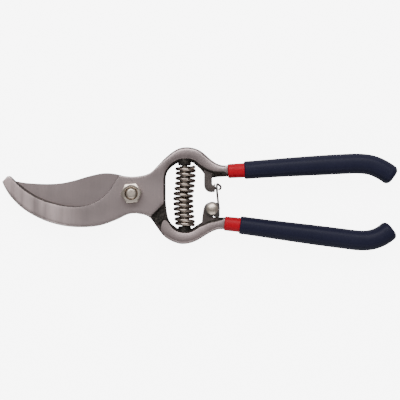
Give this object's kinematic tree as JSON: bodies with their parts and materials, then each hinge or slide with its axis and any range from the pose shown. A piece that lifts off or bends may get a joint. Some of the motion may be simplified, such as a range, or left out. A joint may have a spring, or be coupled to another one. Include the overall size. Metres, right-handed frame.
{
  "type": "pruning shears",
  "caption": "Forged bypass pruning shears with a curved hook and blade on a bolt pivot, a coil return spring, a sheet-steel catch and vinyl-dipped handles.",
  "frame": {"origin": "on the pivot axis, at the underside of the bolt head, which is the plane the tool lies on", "axes": "+X from the pivot to the handle ends, +Y towards the hook arm's handle, +Z along the pivot axis from the bolt head to the nut"},
  "size_m": [0.2134, 0.0559, 0.0172],
  "materials": {
    "forged_steel": "ground and satin polished faces, dark forge scale on the inner walls",
    "zinc_plate": "bright zinc plate",
    "spring_wire": "bright drawn wire",
    "sheet_steel": "cut and folded sheet",
    "red_vinyl": "semi-gloss dip",
    "navy_vinyl": "satin dip"
  },
  "bodies": {
    "lower_arm": {"blade_arm": "forged_steel", "pivot_bolt": "zinc_plate", "pivot_nut": "zinc_plate", "return_spring": "spring_wire", "lower_spring_peg": "zinc_plate", "catch_rivet": "zinc_plate", "lower_grip_undercoat": "red_vinyl", "lower_grip": "navy_vinyl"},
    "upper_arm": {"hook_arm": "forged_steel", "upper_spring_peg": "zinc_plate", "upper_grip_undercoat": "red_vinyl", "upper_grip": "navy_vinyl"},
    "catch": {"catch_strap": "sheet_steel"}
  },
  "joints": [
    {"name": "handle_pivot", "type": "hinge", "parent": "lower_arm", "child": "upper_arm", "pos_m": [0, 0, 0.0075], "axis": [0, 0, 1], "range_deg": [0, 30], "deforming": ["return_spring"]},
    {"name": "catch_swing", "type": "hinge", "parent": "lower_arm", "child": "catch", "pos_m": [0.0437, -0.0084, 0.0075], "axis": [0, 0, -1], "range_deg": [0, 65]}
  ]
}
